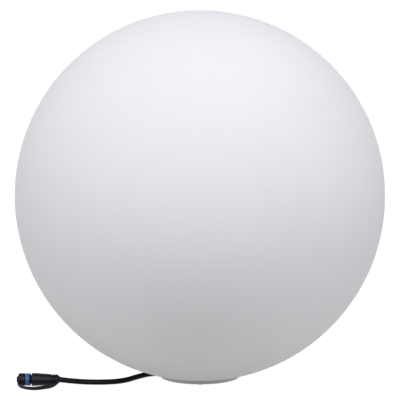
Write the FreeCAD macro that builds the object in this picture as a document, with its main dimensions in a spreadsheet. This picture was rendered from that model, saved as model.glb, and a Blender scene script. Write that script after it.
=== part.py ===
import FreeCAD, Part
import math
import os

import Sketcher
from FreeCAD import Placement, Rotation, Vector

# A garden globe light: a hollow white globe on a short foot, lit from a sealed column inside,
# with a rubber cord that leaves under the foot and ends in a capped low-voltage plug.
# Millimetres. The origin is the middle of the foot on the ground, +Z is up,
# and the cord leaves the foot towards -X.

SIZES = (
    # globe
    ("globe_d", 400.0),
    ("globe_wall", 3.0),
    ("neck_play", 1.0),
    ("neck_ring_rim", 4.0),
    ("neck_ring_t", 9.0),
    ("insert_d", 4.8),
    ("insert_len", 7.0),
    ("blind_room", 1.0),
    # foot and base housing
    ("foot_d", 88.0),
    ("foot_chamfer", 0.8),
    ("foot_lip", 0.4),
    ("foot_rim", 4.5),
    ("fixing_inset", 3.5),
    ("flange_t", 3.2),
    ("gasket_t", 0.5),
    ("gasket_play", 0.5),
    ("column_wall", 3.0),
    ("web_under", 57.0),
    ("web_t", 3.0),
    ("bay_len", 27.0),
    ("base_screw_d", 3.0),
    ("base_head_d", 5.5),
    ("base_head_t", 1.8),
    ("base_screw_len", 9.0),
    ("notch_d", 8.4),
    ("screw_play", 0.4),
    ("thread_play", 0.1),
    ("sink_play", 0.5),
    ("sink_depth", 0.2),
    # feet
    ("foot_pad_d", 7.0),
    ("foot_pad_t", 1.5),
    ("pad_proud", 0.3),
    # socket for the ground spike
    ("spike_d", 16.0),
    ("spike_wall", 2.4),
    ("spike_depth", 40.0),
    ("spike_mouth", 7.2),
    ("rib_t", 2.0),
    ("rib_len", 16.0),
    # cord and gland
    ("cord_d", 5.8),
    ("core_d", 2.1),
    ("core_gap", 2.4),
    ("core_play", 0.2),
    ("gland_af", 15.0),
    ("gland_play", 1.66),
    ("gland_bore_play", 0.2),
    ("gland_flange_t", 3.5),
    ("gland_thread_d", 12.0),
    ("gland_thread_len", 7.5),
    ("gland_nut_len", 9.0),
    ("gland_neck_d", 10.4),
    ("gland_neck_len", 5.5),
    ("gland_seal_t", 1.6),
    ("gland_seal_up", 1.7),
    ("locknut_t", 4.0),
    # electronics bay
    ("board_play", 0.5),
    ("board_t", 1.6),
    ("post_d", 5.0),
    ("post_len", 12.0),
    ("post_inset", 4.0),
    ("board_screw_d", 2.5),
    ("board_head_d", 4.4),
    ("board_head_t", 1.5),
    ("board_screw_len", 7.5),
    ("led_screw_len", 5.0),
    ("plate_screw_len", 11.0),
    ("terminal_len", 10.0),
    ("terminal_w", 8.0),
    ("choke_d", 11.0),
    ("choke_len", 9.0),
    ("capacitor_d", 8.0),
    ("capacitor_len", 11.0),
    ("controller_len", 5.0),
    ("controller_w", 4.0),
    ("controller_t", 1.6),
    ("resistor_len", 3.2),
    ("resistor_w", 1.6),
    ("resistor_t", 0.6),
    # heat sink and lamp
    ("plate_t", 4.0),
    ("plate_seal_t", 0.6),
    ("plate_boss_d", 7.0),
    ("plate_boss_inset", 3.0),
    ("plate_pilot_len", 8.0),
    ("thermal_pad_t", 0.5),
    ("led_board_play", 2.25),
    ("led_w", 3.0),
    ("led_t", 0.7),
    ("led_inset", 6.0),
    ("led_inner_d", 10.0),
    ("led_screw_inset", 5.0),
    ("led_pilot_len", 3.5),
    ("wire_d", 1.4),
    ("wire_inset", 4.3),
    ("solder_t", 0.6),
    ("solder_rim", 0.7),
    ("dome_inset", 0.2),
    ("dome_wall", 1.8),
    ("dome_skirt", 14.0),
    ("dome_rise", 10.0),
    ("dome_seal_t", 0.6),
    # plug, lengths measured from its cord end
    ("plug_d", 13.9),
    ("plug_rear_d", 11.4),
    ("plug_len", 30.0),
    ("plug_mouth_d", 6.6),
    ("plug_neck_d", 8.4),
    ("plug_neck_at", 1.6),
    ("plug_neck_len", 1.8),
    ("groove_at", 4.5),
    ("groove_w", 1.0),
    ("groove_pitch", 1.8),
    ("groove_depth", 0.6),
    ("insert_root_d", 9.0),
    ("insert_root_len", 6.0),
    ("insert_neck_d", 8.2),
    ("insert_neck_len", 1.1),
    ("insert_flange_inset", 0.25),
    ("insert_flange_t", 1.4),
    ("spigot_len", 9.3),
    ("spigot_wall", 1.1),
    ("socket_depth", 7.0),
    ("pin_d", 1.6),
    ("pin_gap", 3.4),
    ("pin_len", 14.0),
    ("seal_inset", 0.2),
    ("seal_wall", 1.52),
    ("seal_play", 0.03),
    ("seal_len", 4.7),
    ("cap_gap", 0.3),
    ("cap_len", 6.9),
    ("cap_end_t", 1.8),
    ("cap_chamfer", 1.1),
    ("cap_play", 0.1),
    ("lug_d", 4.4),
    ("lug_len", 1.0),
    ("button_d", 6.0),
    ("button_t", 0.8),
    # strap of the dust cap
    ("strap_t", 1.5),
    ("strap_w", 2.7),
    ("strap_lift", 0.1),
    ("strap_play", 0.1),
    ("ring_play", 0.05),
    ("front_ring_w", 0.8),
    ("front_ring_rim", 1.6),
    ("back_ring_w", 1.2),
    ("back_ring_rim", 1.2),
    ("strap_tab_w", 2.4),
    ("strap_tab_len", 3.6),
)

# lengths that follow from the sheet, each in terms of the sheet and of the ones above it
LAYOUT = (
    # radii of the base, from the foot's edge inwards, and of the neck ring outside it
    ("foot_r", "Size.foot_d / 2"),
    ("cut_r", "foot_r + Size.foot_lip"),
    ("neck_ring_r", "foot_r + Size.neck_ring_rim"),
    ("fixing_r", "foot_r - Size.foot_rim"),
    ("neck_r", "fixing_r - Size.fixing_inset"),
    ("column_r", "neck_r - Size.neck_play"),
    ("recess_r", "column_r - Size.column_wall"),
    # radii in the bay and on the lamp
    ("plate_screw_r", "recess_r - Size.plate_boss_inset"),
    ("board_r", "plate_screw_r - Size.plate_boss_d / 2 - Size.board_play"),
    ("post_r", "board_r - Size.post_inset"),
    ("led_board_r", "plate_screw_r - Size.base_head_d / 2 - Size.led_board_play"),
    ("led_screw_r", "led_board_r - Size.led_screw_inset"),
    ("led_ring_r", "led_screw_r - Size.led_inset"),
    ("wire_r", "led_board_r - Size.wire_inset"),
    ("dome_r", "column_r - Size.dome_inset"),
    ("dome_room_r", "dome_r - Size.dome_wall"),
    ("gland_r", "Size.spike_d / 2 + Size.spike_wall + Size.gland_af / 2 + Size.gland_play"),
    # radii of the plug's front pieces
    ("seal_r", "Size.plug_d / 2 - Size.seal_inset"),
    ("insert_flange_r", "seal_r - Size.insert_flange_inset"),
    ("seal_bore_r", "seal_r - Size.seal_wall"),
    ("spigot_r", "seal_bore_r - Size.seal_play"),
    ("socket_r", "spigot_r - Size.spigot_wall"),
    ("cap_bore_r", "spigot_r + Size.cap_play"),
    # levels above the ground
    ("foot_z", "Size.pad_proud"),
    ("flange_z", "foot_z + Size.flange_t"),
    ("cut_z", "flange_z + Size.gasket_t"),
    ("middle_z", "cut_z + sqrt((Size.globe_d / 2) ^ 2 - cut_r ^ 2)"),
    ("web_z", "foot_z + Size.web_under"),
    ("bay_z", "web_z + Size.web_t"),
    ("rim_z", "bay_z + Size.bay_len"),
    ("plate_z", "rim_z + Size.plate_seal_t"),
    ("lamp_z", "plate_z + Size.plate_t"),
    ("led_board_z", "lamp_z + Size.thermal_pad_t"),
    ("board_z", "bay_z + Size.post_len"),
    ("parts_z", "board_z + Size.board_t"),
    ("gland_end_z", "web_z - Size.gland_flange_t - Size.gland_nut_len"),
    # places along the plug, from its cord end
    ("flange_at", "Size.plug_len + Size.insert_neck_len"),
    ("spigot_at", "flange_at + Size.insert_flange_t"),
    ("cap_at", "spigot_at + Size.seal_len + Size.cap_gap"),
    ("lug_at", "cap_at + Size.cap_len"),
)

GROOVES = 3
LOOP_BEND = 0.45

doc = FreeCAD.newDocument("GlobeLight")
sheet = doc.addObject("Spreadsheet::Sheet", "Size")
for row, (alias, value) in enumerate(SIZES, start=1):
    sheet.set("A%d" % row, alias)
    sheet.set("B%d" % row, str(value))
    sheet.setAlias("B%d" % row, alias)
doc.recompute()

layout = doc.addObject("App::VarSet", "Layout")
for name, formula in LAYOUT:
    layout.addProperty("App::PropertyFloat", name)
    layout.setExpression(name, formula)
doc.recompute()


def size(alias):
    return float(sheet.get(alias))


# the cord's two ends: straight down out of the gland, and flat along -X into the plug
CORD_Z = size("cord_d") / 2
GLAND_ANGLE = math.radians(-74)
GLAND_X = layout.gland_r * math.cos(GLAND_ANGLE)
GLAND_Y = layout.gland_r * math.sin(GLAND_ANGLE)
NOTCH_Y = 1.0
NOTCH_START = 4.0
PLUG_X = -150.2
PLUG_Y = -48.5
PLUG_Z = size("plug_d") / 2
CORD_POINTS = (
    (GLAND_X, GLAND_Y, layout.gland_end_z),
    (GLAND_X, GLAND_Y, 22.2),
    (-11.8, -10.0, CORD_Z),
    (-33.6, 1.7, CORD_Z),
    (-51.0, 1.2, CORD_Z),
    (-65.5, -9.5, CORD_Z),
    (-83.1, -38.0, CORD_Z),
    (-102.5, -44.0, CORD_Z),
    (-124.0, -44.5, CORD_Z),
    (-142.0, PLUG_Y, PLUG_Z),
    (PLUG_X, PLUG_Y, PLUG_Z),
)

# the terminals that the cord's cores end in
TERMINAL_Y = GLAND_Y + 4.6
TERMINAL_HOLE_Z = layout.parts_z + size("terminal_w") / 2

# places on the driver board, as shares of its radius
CHOKE_SPOT = (-0.44, 0.0)
CAPACITOR_SPOTS = ((0.12, 0.52), (0.52, 0.38))
CONTROLLER_SPOT = (-0.1, -0.04)
RESISTOR_SPOTS = ((0.24, 0.02), (0.24, 0.128))

# the strap's bow beside the plug: how far along and how far out, as shares of its span
STRAP_BOW = ((-0.005, 0.23), (0.15, 0.41), (0.43, 0.53), (0.70, 0.39), (1.0, 0.153))
UPRIGHT = Rotation()
ALONG_PLUG = Rotation(Vector(0, 1, 0), -90)


def primitive(kind, label, at=(0, 0, 0), turn=UPRIGHT, **sizes):
    """A Part primitive whose sizes follow the sheet."""
    piece = doc.addObject("Part::" + kind, label)
    for name, text in sizes.items():
        piece.setExpression(name, text)
    piece.Placement = Placement(Vector(*at), turn)
    return piece


def rod(label, diameter, length, at=(0, 0, 0), turn=UPRIGHT):
    """A round bar; diameter and length are written in names of the sheet."""
    return primitive("Cylinder", label, at, turn, Radius="(%s) / 2" % diameter, Height=length)


def block(label, length, width, height, at=(0, 0, 0)):
    return primitive("Box", label, at, Length=length, Width=width, Height=height)


def hexagon(label, across_flats, height, at=(0, 0, 0), turn=UPRIGHT):
    nut = primitive("Prism", label, at, turn, Circumradius="(%s) / sqrt(3)" % across_flats, Height=height)
    nut.Polygon = 6
    return nut


def join(label, *pieces):
    union = doc.addObject("Part::MultiFuse", label)
    union.Shapes = list(pieces)
    return union


def cut(label, base, *tools):
    result = doc.addObject("Part::Cut", label)
    result.Base = base
    result.Tool = tools[0] if len(tools) == 1 else join(label + "_tools", *tools)
    return result


def group(label, pieces):
    """Equal pieces that share one sub-part, as separate solids."""
    together = doc.addObject("Part::Compound", label)
    together.Links = list(pieces)
    return together


def bent(label, shape):
    """A piece that follows a bent route, with its shape made from the route."""
    piece = doc.addObject("Part::Feature", label)
    piece.Shape = shape
    return piece


def ring_places(radius, angles):
    """Places round the globe's axis, as (x, y)."""
    turns = [math.radians(angle) for angle in angles]
    return [(radius * math.cos(turn), radius * math.sin(turn)) for turn in turns]


def lathe(label, corners, place=Placement()):
    """A turned body: an outline of (radius, height) corners in sheet names, round its own Z axis."""
    body = doc.addObject("PartDesign::Body", label)
    sketch = body.newObject("Sketcher::SketchObject", label + "_outline")
    upright = next(item for item in body.Origin.OriginFeatures if item.Role == "XZ_Plane")
    sketch.AttachmentSupport = (upright, [""])
    sketch.MapMode = "FlatFace"
    count = len(corners)
    turn = 2 * math.pi / count
    start = [Vector(30 + 9 * math.cos(i * turn), 30 + 9 * math.sin(i * turn), 0) for i in range(count)]
    for i in range(count):
        sketch.addGeometry(Part.LineSegment(start[i], start[(i + 1) % count]), False)
    for i in range(count):
        sketch.addConstraint(Sketcher.Constraint("Coincident", i, 2, (i + 1) % count, 1))
    for i, corner in enumerate(corners):
        for kind, axis, text in (("DistanceX", -2, corner[0]), ("DistanceY", -1, corner[1])):
            if text == "0":
                sketch.addConstraint(Sketcher.Constraint("PointOnObject", i, 1, axis))
                continue
            at = sketch.addConstraint(Sketcher.Constraint(kind, -1, 1, i, 1, 30.0))
            sketch.setExpression("Constraints[%d]" % at, text)
    turned = body.newObject("PartDesign::Revolution", label + "_turned")
    turned.Profile = sketch
    turned.ReferenceAxis = (sketch, ["V_Axis"])
    turned.Angle = 360
    sketch.Visibility = False
    body.Placement = place
    return body


def route(points, bend=LOOP_BEND):
    """A path of straight runs joined by tangent arcs, and the radii of its arcs."""
    spots = [Vector(*point) for point in points]
    edges = []
    radii = []
    start = spots[0]
    for before, corner, after in zip(spots, spots[1:], spots[2:]):
        reach = bend * min((corner - before).Length, (after - corner).Length)
        into = (corner - before).normalize()
        away = (after - corner).normalize()
        half = into.getAngle(away) / 2
        radius = reach / math.tan(half)
        first = corner - into * reach
        last = corner + away * reach
        inward = (away - into).normalize()
        middle = corner + inward * (radius / math.cos(half) - radius)
        if (first - start).Length > 1e-6:
            edges.append(Part.LineSegment(start, first).toShape())
        edges.append(Part.Arc(first, middle, last).toShape())
        radii.append(radius)
        start = last
    edges.append(Part.LineSegment(start, spots[-1]).toShape())
    return Part.Wire(edges), radii


def tube(points, diameter, bend=LOOP_BEND):
    """A round solid along a route."""
    path, radii = route(points, bend)
    first = Vector(*points[0])
    heading = Vector(*points[1]) - first
    ends = Part.Wire([Part.Circle(first, heading, diameter / 2).toShape()])
    solid = path.makePipeShell([ends], True, False)
    return Part.Solid(solid) if solid.ShapeType != "Solid" else solid, path.Length, radii


def notch(label, at_z=CORD_Z):
    """The cord's way out under the globe: a round channel, open below, towards -X."""
    length = "Layout.foot_r"
    start = (NOTCH_START - layout.recess_r, NOTCH_Y, at_z)
    channel = rod(label + "_round", "Size.notch_d", length, start, ALONG_PLUG)
    slot = block(label + "_slot", length, "Size.notch_d", "Size.cord_d")
    far_end = start[0] - layout.foot_r
    slot.Placement.Base = Vector(far_end, start[1] - size("notch_d") / 2, at_z - size("cord_d"))
    return join(label, channel, slot)


SCREW_ANGLES = (45, 135, 225, 315)
PAD_ANGLES = (0, 90, 157.5, 202.5, 270)
POST_ANGLES = (0, 120, 240)
PLATE_ANGLES = (80, 200, 320)
LED_SCREW_ANGLES = (60, 180, 300)
WIRE_ANGLES = (90, 101.5)


def globe_shell():
    """The moulded globe, cut flat at the foot, with a thick ring round its neck."""
    ball = primitive("Sphere", "ball", (0, 0, layout.middle_z), Radius="Size.globe_d / 2")
    hollow = primitive("Sphere", "hollow", (0, 0, layout.middle_z), Radius="Size.globe_d / 2 - Size.globe_wall")
    ring = rod("neck_ring", "2 * Layout.neck_ring_r", "Size.neck_ring_t", (0, 0, layout.cut_z))
    room = cut("room", hollow, ring)
    below = block("below", "Size.globe_d", "Size.globe_d", "Size.globe_d")
    below.Placement.Base = Vector(-size("globe_d") / 2, -size("globe_d") / 2, layout.cut_z - size("globe_d"))
    neck_start = (0, 0, layout.cut_z - size("neck_ring_t") / 2)
    neck = rod("neck", "2 * Layout.neck_r", "2 * Size.neck_ring_t", neck_start)
    depth = "Size.insert_len + Size.blind_room"
    holes = [
        rod("insert_hole_%d" % k, "Size.insert_d + Size.thread_play", depth, (x, y, layout.cut_z))
        for k, (x, y) in enumerate(ring_places(layout.fixing_r, SCREW_ANGLES))
    ]
    return cut("globe_shell", ball, room, below, neck, notch("globe_notch"), *holes)


def neck_inserts():
    inserts = []
    for k, (x, y) in enumerate(ring_places(layout.fixing_r, SCREW_ANGLES)):
        brass = rod("insert_%d" % k, "Size.insert_d", "Size.insert_len", (x, y, layout.cut_z))
        bore_d = "Size.base_screw_d + Size.thread_play"
        thread = rod("insert_bore_%d" % k, bore_d, "Size.insert_len", (x, y, layout.cut_z))
        inserts.append(cut("insert_bored_%d" % k, brass, thread))
    return group("neck_inserts", inserts)


def base_gasket():
    ring = rod("gasket_disc", "Size.foot_d - Size.foot_chamfer", "Size.gasket_t", (0, 0, layout.flange_z))
    inside_d = "2 * (Layout.neck_r + Size.gasket_play)"
    inside = rod("gasket_inside", inside_d, "Size.gasket_t", (0, 0, layout.flange_z))
    hole_d = "Size.base_screw_d + 2 * Size.screw_play"
    holes = [
        rod("gasket_hole_%d" % k, hole_d, "Size.gasket_t", (x, y, layout.flange_z))
        for k, (x, y) in enumerate(ring_places(layout.fixing_r, SCREW_ANGLES))
    ]
    return cut("base_gasket", ring, inside, notch("gasket_notch"), *holes)


def housing_outline():
    """Foot flange, cable recess with the spike socket in its middle, and bay above the web."""
    bay_floor = "Size.web_under + Size.web_t"
    bay_rim = "Size.web_under + Size.web_t + Size.bay_len"
    bore_top = "Size.spike_mouth + Size.spike_depth"
    boss = "Size.spike_d / 2 + Size.spike_wall"
    return (
        ("Layout.recess_r", "0"),
        ("Layout.foot_r - Size.foot_chamfer", "0"),
        ("Layout.foot_r", "Size.foot_chamfer"),
        ("Layout.foot_r", "Size.flange_t"),
        ("Layout.column_r", "Size.flange_t"),
        ("Layout.column_r", bay_rim),
        ("Layout.recess_r", bay_rim),
        ("Layout.recess_r", bay_floor),
        ("0", bay_floor),
        ("0", bore_top),
        ("Size.spike_d / 2", bore_top),
        ("Size.spike_d / 2", "Size.spike_mouth"),
        (boss, "Size.spike_mouth"),
        (boss, "Size.web_under"),
        ("Layout.recess_r", "Size.web_under"),
    )


def housing_ribs():
    """Webs that brace the spike socket against the wall, on the side away from the cord."""
    ribs = []
    for angle in (0, 60, 120):
        rib = block("rib_%d" % angle, "Layout.recess_r - Size.spike_d / 2", "Size.rib_t", "Size.rib_len")
        turn = Rotation(Vector(0, 0, 1), angle)
        inner = Vector(size("spike_d") / 2 + 1, -size("rib_t") / 2, layout.web_z - size("rib_len") + 0.5)
        rib.Placement = Placement(turn.multVec(inner), turn)
        ribs.append(rib)
    return ribs


def base_housing():
    """One moulding: the turned form, plus posts, bosses and ribs, less its holes."""
    turned = lathe("housing_turned", housing_outline(), Placement(Vector(0, 0, layout.foot_z), UPRIGHT))
    added = housing_ribs()
    holes = [notch("housing_notch")]
    gland_at = (GLAND_X, GLAND_Y, layout.web_z - 1)
    holes.append(rod("gland_hole", "Size.gland_thread_d + 2 * Size.thread_play", "Size.web_t + 2", gland_at))
    for k, (x, y) in enumerate(ring_places(layout.post_r, POST_ANGLES)):
        added.append(rod("post_%d" % k, "Size.post_d", "Size.post_len + 0.5", (x, y, layout.bay_z - 0.5)))
        pilot = (x, y, layout.board_z - size("board_screw_len"))
        pilot_d = "Size.board_screw_d + Size.thread_play"
        holes.append(rod("post_pilot_%d" % k, pilot_d, "Size.board_screw_len", pilot))
    for k, (x, y) in enumerate(ring_places(layout.plate_screw_r, PLATE_ANGLES)):
        boss_len = "Size.bay_len + Size.plate_seal_t + 0.5"
        added.append(rod("plate_boss_%d" % k, "Size.plate_boss_d", boss_len, (x, y, layout.bay_z - 0.5)))
        pilot = (x, y, layout.plate_z - size("plate_pilot_len"))
        pilot_d = "Size.base_screw_d + Size.thread_play"
        holes.append(rod("plate_pilot_%d" % k, pilot_d, "Size.plate_pilot_len", pilot))
    for k, (x, y) in enumerate(ring_places(layout.fixing_r, SCREW_ANGLES)):
        hole_d = "Size.base_screw_d + Size.screw_play"
        holes.append(rod("fixing_hole_%d" % k, hole_d, "Size.flange_t", (x, y, layout.foot_z)))
        sink_d = "Size.base_head_d + Size.sink_play"
        sink = "Size.base_head_t + Size.sink_depth"
        holes.append(rod("fixing_sink_%d" % k, sink_d, sink, (x, y, layout.foot_z)))
    for k, (x, y) in enumerate(ring_places(layout.fixing_r, PAD_ANGLES)):
        seat = "Size.foot_pad_t - Size.pad_proud"
        seat_d = "Size.foot_pad_d + 2 * Size.thread_play"
        holes.append(rod("pad_seat_%d" % k, seat_d, seat, (x, y, layout.foot_z)))
    return cut("base_housing", join("housing_solid", turned, *added), *holes)


# shank, head, head thickness and length of each kind of screw, in names of the sheet
BASE_SCREW = ("base_screw_d", "base_head_d", "base_head_t", "base_screw_len")
PLATE_SCREW = ("base_screw_d", "base_head_d", "base_head_t", "plate_screw_len")
DRIVER_SCREW = ("board_screw_d", "board_head_d", "board_head_t", "board_screw_len")
LED_SCREW = ("board_screw_d", "board_head_d", "board_head_t", "led_screw_len")


def screw(label, seat, up, shank, head, head_t, length):
    """A pan-head screw with a hexagon socket. Its head lies above its seat if up is 1, below if -1."""
    x, y, z = seat
    shaft_z = z - size(length) if up > 0 else z
    head_z = z if up > 0 else z - size(head_t)
    socket_z = z + size(head_t) * 0.4 if up > 0 else z - size(head_t)
    shaft = rod(label + "_shank", "Size." + shank, "Size." + length, (x, y, shaft_z))
    top = rod(label + "_head", "Size." + head, "Size." + head_t, (x, y, head_z))
    blank = join(label + "_blank", shaft, top)
    socket = hexagon(label + "_socket", "Size.%s * 0.45" % head, "Size.%s * 0.6" % head_t, (x, y, socket_z))
    return cut(label, blank, socket)


def base_screws():
    seat = layout.foot_z + size("base_head_t") + size("sink_depth")
    places = ring_places(layout.fixing_r, SCREW_ANGLES)
    return group(
        "base_screws",
        [screw("base_screw_%d" % k, (x, y, seat), -1, *BASE_SCREW) for k, (x, y) in enumerate(places)],
    )


def rubber_feet():
    places = ring_places(layout.fixing_r, PAD_ANGLES)
    pads = []
    for k, (x, y) in enumerate(places):
        pads.append(rod("pad_%d" % k, "Size.foot_pad_d", "Size.foot_pad_t", (x, y, 0)))
    return group("rubber_feet", pads)


def gland_parts():
    """Cable gland under the web: body with its thread through the web, locknut, seal and clamping nut."""
    flange_z = layout.web_z - size("gland_flange_t")
    neck_z = flange_z - size("gland_neck_len")
    seal_z = layout.gland_end_z + size("gland_seal_up")
    spin = Rotation(Vector(0, 0, 1), math.degrees(math.atan2(GLAND_Y, GLAND_X)) - 30)
    bore = "Size.cord_d + Size.gland_bore_play"
    here = (GLAND_X, GLAND_Y)
    body = join(
        "gland_blank",
        hexagon("gland_flange", "Size.gland_af", "Size.gland_flange_t", (*here, flange_z), spin),
        rod("gland_thread", "Size.gland_thread_d", "Size.web_t + Size.gland_thread_len", (*here, layout.web_z)),
        rod("gland_neck", "Size.gland_neck_d", "Size.gland_neck_len", (*here, neck_z)),
    )
    cut("gland_body", body, rod("gland_bore", bore, "Size.web_under", (*here, layout.gland_end_z)))
    locknut = hexagon("locknut_blank", "Size.gland_af", "Size.locknut_t", (*here, layout.bay_z), spin)
    thread_d = "Size.gland_thread_d + Size.thread_play"
    thread = rod("locknut_bore", thread_d, "Size.locknut_t", (*here, layout.bay_z))
    cut("gland_locknut", locknut, thread)
    ring = rod("seal_ring", "Size.gland_neck_d", "Size.gland_seal_t", (*here, seal_z))
    cut("gland_seal", ring, rod("seal_bore", "Size.cord_d + 0.04", "Size.gland_seal_t", (*here, seal_z)))
    nut = hexagon("nut_blank", "Size.gland_af", "Size.gland_nut_len - 0.05", (*here, layout.gland_end_z), spin)
    cone = primitive(
        "Cone",
        "nut_taper",
        (*here, layout.gland_end_z),
        Radius1="Size.gland_af / 2 - 0.6",
        Radius2="Size.gland_af / 2 - 0.6 + Size.gland_nut_len",
        Height="Size.gland_nut_len",
    )
    shaped = doc.addObject("Part::MultiCommon", "nut_shaped")
    shaped.Shapes = [nut, cone]
    room = rod("nut_room", "Size.gland_neck_d + Size.thread_play", "Size.gland_nut_len", (*here, seal_z))
    mouth_start = (*here, layout.gland_end_z - 1)
    cut("gland_nut", shaped, room, rod("nut_mouth", bore, "Size.gland_nut_len", mouth_start))


def supply_cores():
    """The sheath's end in the gland, and two cores that rise from it and turn into the terminals."""
    sheath_z = layout.bay_z + size("gland_thread_len") + 1
    start = (GLAND_X, GLAND_Y, layout.gland_end_z)
    sheath = rod("sheath_end", "Size.cord_d", "%.6f" % (sheath_z - layout.gland_end_z), start)
    cores = []
    for side in (-1, 1):
        x = GLAND_X + side * size("core_gap") / 2
        points = (
            (x, GLAND_Y, sheath_z - 0.5),
            (x, GLAND_Y, TERMINAL_HOLE_Z - 2.2),
            (x, GLAND_Y + 2.2, TERMINAL_HOLE_Z),
            (x, TERMINAL_Y + 3.5, TERMINAL_HOLE_Z),
        )
        cores.append(bent("core_%d" % side, tube(points, size("core_d"))[0]))
    return join("supply_cores", sheath, *cores)


def board_spot(share):
    """A place on the driver board, as (x, y)."""
    return (share[0] * layout.board_r, share[1] * layout.board_r)


def driver_parts():
    """Round driver board on its posts, with terminal block, choke, capacitors, chips and screws."""
    disc = rod("driver_disc", "2 * Layout.board_r", "Size.board_t", (0, 0, layout.board_z))
    slot_w = "Size.core_gap + Size.core_d + 4 * Size.core_play"
    holes = [rod("core_slot_end", slot_w, "Size.board_t", (GLAND_X, GLAND_Y, layout.board_z))]
    slot = block("core_slot", "Layout.board_r", slot_w, "Size.board_t")
    half_w = size("core_gap") / 2 + size("core_d") / 2 + 2 * size("core_play")
    outward = Rotation(Vector(0, 0, 1), math.degrees(GLAND_ANGLE))
    corner = Vector(GLAND_X, GLAND_Y, layout.board_z) + outward.multVec(Vector(0, -half_w, 0))
    slot.Placement = Placement(corner, outward)
    holes.append(slot)
    screws = []
    for k, (x, y) in enumerate(ring_places(layout.post_r, POST_ANGLES)):
        hole_d = "Size.board_screw_d + Size.screw_play"
        holes.append(rod("driver_hole_%d" % k, hole_d, "Size.board_t", (x, y, layout.board_z)))
        screws.append(screw("driver_screw_%d" % k, (x, y, layout.parts_z), 1, *DRIVER_SCREW))
    cut("driver_board", disc, *holes)
    group("driver_screws", screws)

    base = block("terminal_base", "Size.terminal_len", "Size.terminal_w", "Size.terminal_w")
    base.Placement.Base = Vector(GLAND_X - size("terminal_len") / 2, TERMINAL_Y, layout.parts_z)
    wells = []
    for side in (-1, 1):
        x = GLAND_X + side * size("core_gap") / 2
        into = Rotation(Vector(1, 0, 0), -90)
        mouth = (x, TERMINAL_Y, TERMINAL_HOLE_Z)
        wells.append(rod("well_%d" % side, "Size.core_d + Size.core_play", "Size.terminal_w / 2", mouth, into))
        top_y = TERMINAL_Y + size("terminal_w") * 0.7
        top = (GLAND_X + side * size("terminal_len") / 4, top_y, layout.parts_z + size("terminal_w") * 0.88)
        wells.append(rod("screw_well_%d" % side, "Size.core_d * 0.85", "Size.terminal_w / 8", top))
    cut("terminal_block", base, *wells)

    choke_at = board_spot(CHOKE_SPOT)
    ends = "Size.choke_len / 5"
    join(
        "driver_choke",
        rod("choke_foot", "Size.choke_d", ends, (*choke_at, layout.parts_z)),
        rod("choke_coil", "Size.choke_d - 1.6", "Size.choke_len", (*choke_at, layout.parts_z)),
        rod("choke_cap", "Size.choke_d", ends, (*choke_at, layout.parts_z + size("choke_len") * 0.8)),
    )
    cans = []
    for k, spot in enumerate(CAPACITOR_SPOTS):
        at = (*board_spot(spot), layout.parts_z)
        cans.append(rod("capacitor_%d" % k, "Size.capacitor_d", "Size.capacitor_len", at))
    group("driver_capacitors", cans)
    at = (*board_spot(CONTROLLER_SPOT), layout.parts_z)
    chips = [block("controller", "Size.controller_len", "Size.controller_w", "Size.controller_t", at)]
    for k, spot in enumerate(RESISTOR_SPOTS):
        at = (*board_spot(spot), layout.parts_z)
        chips.append(block("resistor_%d" % k, "Size.resistor_len", "Size.resistor_w", "Size.resistor_t", at))
    group("driver_chips", chips)


def wire_places():
    return ring_places(layout.wire_r, WIRE_ANGLES)


def heat_sink_parts():
    """Aluminium plate that closes the bay, its seal and its screws."""
    plate = rod("plate", "2 * Layout.column_r", "Size.plate_t", (0, 0, layout.plate_z))
    holes = []
    screws = []
    for k, (x, y) in enumerate(ring_places(layout.plate_screw_r, PLATE_ANGLES)):
        hole_d = "Size.base_screw_d + Size.screw_play"
        holes.append(rod("plate_hole_%d" % k, hole_d, "Size.plate_t", (x, y, layout.plate_z)))
        screws.append(screw("heat_sink_screw_%d" % k, (x, y, layout.lamp_z), 1, *PLATE_SCREW))
    for k, (x, y) in enumerate(ring_places(layout.led_screw_r, LED_SCREW_ANGLES)):
        bottom = (x, y, layout.lamp_z - size("led_pilot_len"))
        pilot_d = "Size.board_screw_d + Size.thread_play"
        holes.append(rod("led_pilot_%d" % k, pilot_d, "Size.led_pilot_len", bottom))
    for k, (x, y) in enumerate(wire_places()):
        hole_d = "Size.wire_d + 2 * Size.screw_play"
        holes.append(rod("plate_wire_hole_%d" % k, hole_d, "Size.plate_t", (x, y, layout.plate_z)))
    cut("heat_sink", plate, *holes)
    group("heat_sink_screws", screws)
    ring = rod("plate_seal_ring", "2 * Layout.column_r", "Size.plate_seal_t", (0, 0, layout.rim_z))
    inside = rod("plate_seal_inside", "2 * Layout.recess_r", "Size.plate_seal_t", (0, 0, layout.rim_z))
    gap_d = "Size.plate_boss_d + 2 * Size.thread_play"
    notches = [
        rod("plate_seal_gap_%d" % k, gap_d, "Size.plate_seal_t", (x, y, layout.rim_z))
        for k, (x, y) in enumerate(ring_places(layout.plate_screw_r, PLATE_ANGLES))
    ]
    cut("heat_sink_seal", ring, inside, *notches)


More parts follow.
